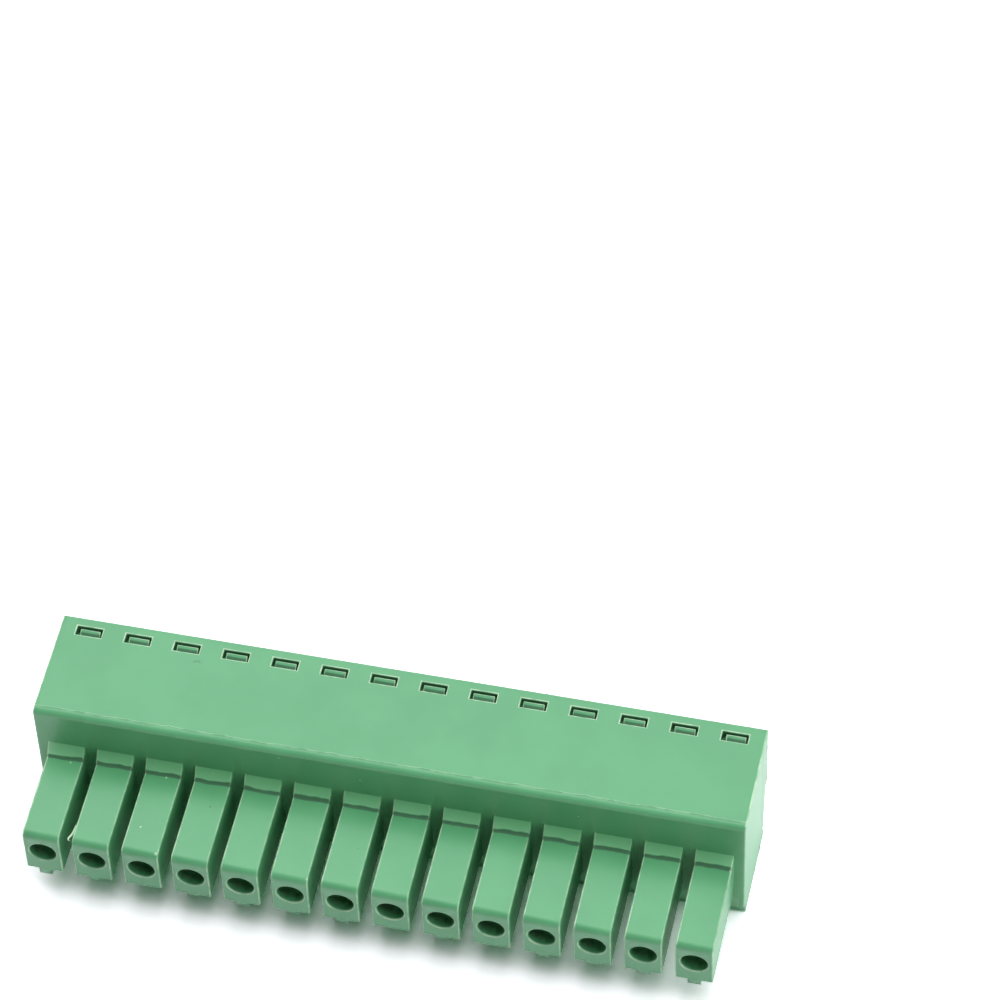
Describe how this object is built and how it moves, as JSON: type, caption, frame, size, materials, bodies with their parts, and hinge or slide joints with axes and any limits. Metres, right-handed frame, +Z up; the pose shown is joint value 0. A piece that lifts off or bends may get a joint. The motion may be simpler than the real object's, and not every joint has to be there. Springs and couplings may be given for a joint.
{
  "type": "pluggable terminal block",
  "caption": "Straight row of screw-clamp poles in a green housing with separate socket fingers, latch windows on top and a snap-in rear cover with wire entries.",
  "frame": {"origin": "middle of the plug's bounding box, on the screw face that it lies on", "axes": "X along the row of poles, Z up from the screw face to the latch face, -Y the way the fingers point, +Y the side that the wires come from"},
  "size_m": [0.0496, 0.0154, 0.0111],
  "materials": {
    "green_polyamide": "moulded polyamide, satin, green",
    "screw_steel": "zinc-plated steel",
    "nickel_plated": "nickel-plated",
    "tinned_contact": "tin-plated copper alloy"
  },
  "bodies": {
    "root": {"housing": "green_polyamide", "rear_cover": "green_polyamide", "contact_01": "tinned_contact", "contact_02": "tinned_contact", "contact_03": "tinned_contact", "contact_04": "tinned_contact", "contact_05": "tinned_contact", "contact_06": "tinned_contact", "contact_07": "tinned_contact", "contact_08": "tinned_contact", "contact_09": "tinned_contact", "contact_10": "tinned_contact", "contact_11": "tinned_contact", "contact_12": "tinned_contact", "contact_13": "tinned_contact", "contact_14": "tinned_contact"},
    "screw_01": {"clamp_screw_01": "screw_steel"},
    "cage_01": {"clamp_cage_01": "nickel_plated"},
    "screw_02": {"clamp_screw_02": "screw_steel"},
    "cage_02": {"clamp_cage_02": "nickel_plated"},
    "screw_03": {"clamp_screw_03": "screw_steel"},
    "cage_03": {"clamp_cage_03": "nickel_plated"},
    "screw_04": {"clamp_screw_04": "screw_steel"},
    "cage_04": {"clamp_cage_04": "nickel_plated"},
    "screw_05": {"clamp_screw_05": "screw_steel"},
    "cage_05": {"clamp_cage_05": "nickel_plated"},
    "screw_06": {"clamp_screw_06": "screw_steel"},
    "cage_06": {"clamp_cage_06": "nickel_plated"},
    "screw_07": {"clamp_screw_07": "screw_steel"},
    "cage_07": {"clamp_cage_07": "nickel_plated"},
    "screw_08": {"clamp_screw_08": "screw_steel"},
    "cage_08": {"clamp_cage_08": "nickel_plated"},
    "screw_09": {"clamp_screw_09": "screw_steel"},
    "cage_09": {"clamp_cage_09": "nickel_plated"},
    "screw_10": {"clamp_screw_10": "screw_steel"},
    "cage_10": {"clamp_cage_10": "nickel_plated"},
    "screw_11": {"clamp_screw_11": "screw_steel"},
    "cage_11": {"clamp_cage_11": "nickel_plated"},
    "screw_12": {"clamp_screw_12": "screw_steel"},
    "cage_12": {"clamp_cage_12": "nickel_plated"},
    "screw_13": {"clamp_screw_13": "screw_steel"},
    "cage_13": {"clamp_cage_13": "nickel_plated"},
    "screw_14": {"clamp_screw_14": "screw_steel"},
    "cage_14": {"clamp_cage_14": "nickel_plated"}
  },
  "joints": [
    {"name": "screw_turn_01", "type": "hinge", "parent": "root", "child": "screw_01", "pos_m": [-0.02275, 0.0029, 0.0012], "axis": [0, 0, 1], "range_deg": [0, 1440]},
    {"name": "cage_lift_01", "type": "slide", "parent": "root", "child": "cage_01", "axis": [0, 0, -1], "range_m": [0, 0.0016]},
    {"name": "screw_turn_02", "type": "hinge", "parent": "root", "child": "screw_02", "pos_m": [-0.01925, 0.0029, 0.0012], "axis": [0, 0, 1], "range_deg": [0, 1440]},
    {"name": "cage_lift_02", "type": "slide", "parent": "root", "child": "cage_02", "axis": [0, 0, -1], "range_m": [0, 0.0016]},
    {"name": "screw_turn_03", "type": "hinge", "parent": "root", "child": "screw_03", "pos_m": [-0.01575, 0.0029, 0.0012], "axis": [0, 0, 1], "range_deg": [0, 1440]},
    {"name": "cage_lift_03", "type": "slide", "parent": "root", "child": "cage_03", "axis": [0, 0, -1], "range_m": [0, 0.0016]},
    {"name": "screw_turn_04", "type": "hinge", "parent": "root", "child": "screw_04", "pos_m": [-0.01225, 0.0029, 0.0012], "axis": [0, 0, 1], "range_deg": [0, 1440]},
    {"name": "cage_lift_04", "type": "slide", "parent": "root", "child": "cage_04", "axis": [0, 0, -1], "range_m": [0, 0.0016]},
    {"name": "screw_turn_05", "type": "hinge", "parent": "root", "child": "screw_05", "pos_m": [-0.00875, 0.0029, 0.0012], "axis": [0, 0, 1], "range_deg": [0, 1440]},
    {"name": "cage_lift_05", "type": "slide", "parent": "root", "child": "cage_05", "axis": [0, 0, -1], "range_m": [0, 0.0016]},
    {"name": "screw_turn_06", "type": "hinge", "parent": "root", "child": "screw_06", "pos_m": [-0.00525, 0.0029, 0.0012], "axis": [0, 0, 1], "range_deg": [0, 1440]},
    {"name": "cage_lift_06", "type": "slide", "parent": "root", "child": "cage_06", "axis": [0, 0, -1], "range_m": [0, 0.0016]},
    {"name": "screw_turn_07", "type": "hinge", "parent": "root", "child": "screw_07", "pos_m": [-0.00175, 0.0029, 0.0012], "axis": [0, 0, 1], "range_deg": [0, 1440]},
    {"name": "cage_lift_07", "type": "slide", "parent": "root", "child": "cage_07", "axis": [0, 0, -1], "range_m": [0, 0.0016]},
    {"name": "screw_turn_08", "type": "hinge", "parent": "root", "child": "screw_08", "pos_m": [0.00175, 0.0029, 0.0012], "axis": [0, 0, 1], "range_deg": [0, 1440]},
    {"name": "cage_lift_08", "type": "slide", "parent": "root", "child": "cage_08", "axis": [0, 0, -1], "range_m": [0, 0.0016]},
    {"name": "screw_turn_09", "type": "hinge", "parent": "root", "child": "screw_09", "pos_m": [0.00525, 0.0029, 0.0012], "axis": [0, 0, 1], "range_deg": [0, 1440]},
    {"name": "cage_lift_09", "type": "slide", "parent": "root", "child": "cage_09", "axis": [0, 0, -1], "range_m": [0, 0.0016]},
    {"name": "screw_turn_10", "type": "hinge", "parent": "root", "child": "screw_10", "pos_m": [0.00875, 0.0029, 0.0012], "axis": [0, 0, 1], "range_deg": [0, 1440]},
    {"name": "cage_lift_10", "type": "slide", "parent": "root", "child": "cage_10", "axis": [0, 0, -1], "range_m": [0, 0.0016]},
    {"name": "screw_turn_11", "type": "hinge", "parent": "root", "child": "screw_11", "pos_m": [0.01225, 0.0029, 0.0012], "axis": [0, 0, 1], "range_deg": [0, 1440]},
    {"name": "cage_lift_11", "type": "slide", "parent": "root", "child": "cage_11", "axis": [0, 0, -1], "range_m": [0, 0.0016]},
    {"name": "screw_turn_12", "type": "hinge", "parent": "root", "child": "screw_12", "pos_m": [0.01575, 0.0029, 0.0012], "axis": [0, 0, 1], "range_deg": [0, 1440]},
    {"name": "cage_lift_12", "type": "slide", "parent": "root", "child": "cage_12", "axis": [0, 0, -1], "range_m": [0, 0.0016]},
    {"name": "screw_turn_13", "type": "hinge", "parent": "root", "child": "screw_13", "pos_m": [0.01925, 0.0029, 0.0012], "axis": [0, 0, 1], "range_deg": [0, 1440]},
    {"name": "cage_lift_13", "type": "slide", "parent": "root", "child": "cage_13", "axis": [0, 0, -1], "range_m": [0, 0.0016]},
    {"name": "screw_turn_14", "type": "hinge", "parent": "root", "child": "screw_14", "pos_m": [0.02275, 0.0029, 0.0012], "axis": [0, 0, 1], "range_deg": [0, 1440]},
    {"name": "cage_lift_14", "type": "slide", "parent": "root", "child": "cage_14", "axis": [0, 0, -1], "range_m": [0, 0.0016]}
  ],
  "couplings": [
    {"joint": "screw_turn_01", "follows": "cage_lift_01", "rad_per_m": 15708},
    {"joint": "screw_turn_02", "follows": "cage_lift_02", "rad_per_m": 15708},
    {"joint": "screw_turn_03", "follows": "cage_lift_03", "rad_per_m": 15708},
    {"joint": "screw_turn_04", "follows": "cage_lift_04", "rad_per_m": 15708},
    {"joint": "screw_turn_05", "follows": "cage_lift_05", "rad_per_m": 15708},
    {"joint": "screw_turn_06", "follows": "cage_lift_06", "rad_per_m": 15708},
    {"joint": "screw_turn_07", "follows": "cage_lift_07", "rad_per_m": 15708},
    {"joint": "screw_turn_08", "follows": "cage_lift_08", "rad_per_m": 15708},
    {"joint": "screw_turn_09", "follows": "cage_lift_09", "rad_per_m": 15708},
    {"joint": "screw_turn_10", "follows": "cage_lift_10", "rad_per_m": 15708},
    {"joint": "screw_turn_11", "follows": "cage_lift_11", "rad_per_m": 15708},
    {"joint": "screw_turn_12", "follows": "cage_lift_12", "rad_per_m": 15708},
    {"joint": "screw_turn_13", "follows": "cage_lift_13", "rad_per_m": 15708},
    {"joint": "screw_turn_14", "follows": "cage_lift_14", "rad_per_m": 15708}
  ]
}
